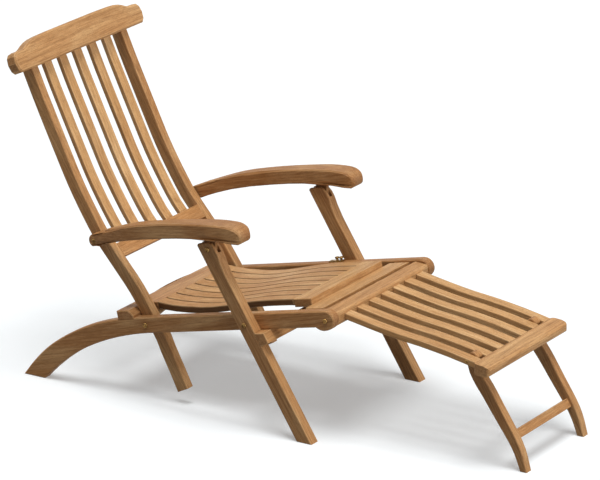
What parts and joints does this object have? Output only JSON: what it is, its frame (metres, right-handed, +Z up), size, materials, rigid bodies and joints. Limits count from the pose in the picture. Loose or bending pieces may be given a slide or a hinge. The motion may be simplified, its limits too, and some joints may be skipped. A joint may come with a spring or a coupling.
{
  "type": "steamer deck chair",
  "caption": "Folding slatted wooden deck chair with a reclined back, curved arms, splayed legs and a slatted footrest on hinged legs.",
  "frame": {"origin": "on the floor under the middle of the whole chair", "axes": "+X towards the foot end, +Y to the sitter's left, +Z up"},
  "size_m": [1.5838, 0.64, 0.9639],
  "materials": {
    "teak": "oiled teak, satin",
    "teak_slat": "oiled teak, sanded, satin",
    "brass": "aged brass"
  },
  "bodies": {
    "frame": {"side_rail_right": "teak", "side_rail_left": "teak", "rear_cross_rail": "teak", "seat_slat_1": "teak_slat", "seat_slat_2": "teak_slat", "seat_slat_3": "teak_slat", "seat_slat_4": "teak_slat", "seat_slat_5": "teak_slat", "seat_slat_6": "teak_slat", "seat_slat_7": "teak_slat", "seat_slat_8": "teak_slat", "seat_front_rail": "teak_slat", "frame_front_rail": "teak_slat", "bolt_back_right": "brass", "bolt_back_left": "brass", "bolt_leg_right": "brass", "bolt_leg_left": "brass", "bolt_nose_right": "brass", "bolt_nose_left": "brass", "rail_catch": "brass"},
    "back": {"back_stile_right": "teak", "back_stile_left": "teak", "lower_back_rail": "teak", "crest_rail": "teak", "back_slat_1": "teak_slat", "back_slat_2": "teak_slat", "back_slat_3": "teak_slat", "back_slat_4": "teak_slat", "back_slat_5": "teak_slat", "bolt_arm_rear_right": "brass", "bolt_arm_rear_left": "brass"},
    "front_legs": {"front_leg_right": "teak", "front_leg_left": "teak", "front_leg_stretcher": "teak", "bolt_arm_front_right": "brass", "bolt_arm_front_left": "brass"},
    "arm_right": {"arm_right": "teak", "arm_tongue_right": "teak"},
    "arm_left": {"arm_left": "teak", "arm_tongue_left": "teak"},
    "footrest": {"footrest_nose_rail": "teak", "footrest_end_rail": "teak", "footrest_slat_1": "teak_slat", "footrest_slat_2": "teak_slat", "footrest_slat_3": "teak_slat", "footrest_slat_4": "teak_slat", "footrest_slat_5": "teak_slat", "footrest_slat_6": "teak_slat", "footrest_slat_7": "teak_slat", "bolt_footrest_leg_right": "brass", "bolt_footrest_leg_left": "brass"},
    "footrest_legs": {"footrest_leg_right": "teak", "footrest_leg_left": "teak", "footrest_leg_stretcher": "teak"}
  },
  "joints": [
    {"name": "back_fold", "type": "hinge", "parent": "frame", "child": "back", "pos_m": [-0.35511, 0, 0.2225], "axis": [0, 1, 0], "range_deg": [0, 60]},
    {"name": "front_leg_fold", "type": "hinge", "parent": "frame", "child": "front_legs", "pos_m": [-0.01012, 0, 0.29961], "axis": [0, 1, 0], "range_deg": [0, 72.5]},
    {"name": "arm_fold_right", "type": "hinge", "parent": "back", "child": "arm_right", "pos_m": [-0.52411, -0.247, 0.435], "axis": [0, 1, 0], "range_deg": [-56, 0]},
    {"name": "arm_fold_left", "type": "hinge", "parent": "back", "child": "arm_left", "pos_m": [-0.52411, 0.247, 0.435], "axis": [0, 1, 0], "range_deg": [-56, 0]},
    {"name": "footrest_fold", "type": "hinge", "parent": "frame", "child": "footrest", "pos_m": [0.22384, 0, 0.34627], "axis": [0, 1, 0], "range_deg": [0, 110]},
    {"name": "footrest_leg_fold", "type": "hinge", "parent": "footrest", "child": "footrest_legs", "pos_m": [0.62384, 0, 0.29157], "axis": [0, 1, 0], "range_deg": [0, 110]}
  ],
  "couplings": [
    {"joint": "front_leg_fold", "follows": "back_fold", "ratio": 1.2},
    {"joint": "arm_fold_right", "follows": "back_fold", "ratio": -0.93},
    {"joint": "arm_fold_left", "follows": "back_fold", "ratio": -0.93}
  ]
}
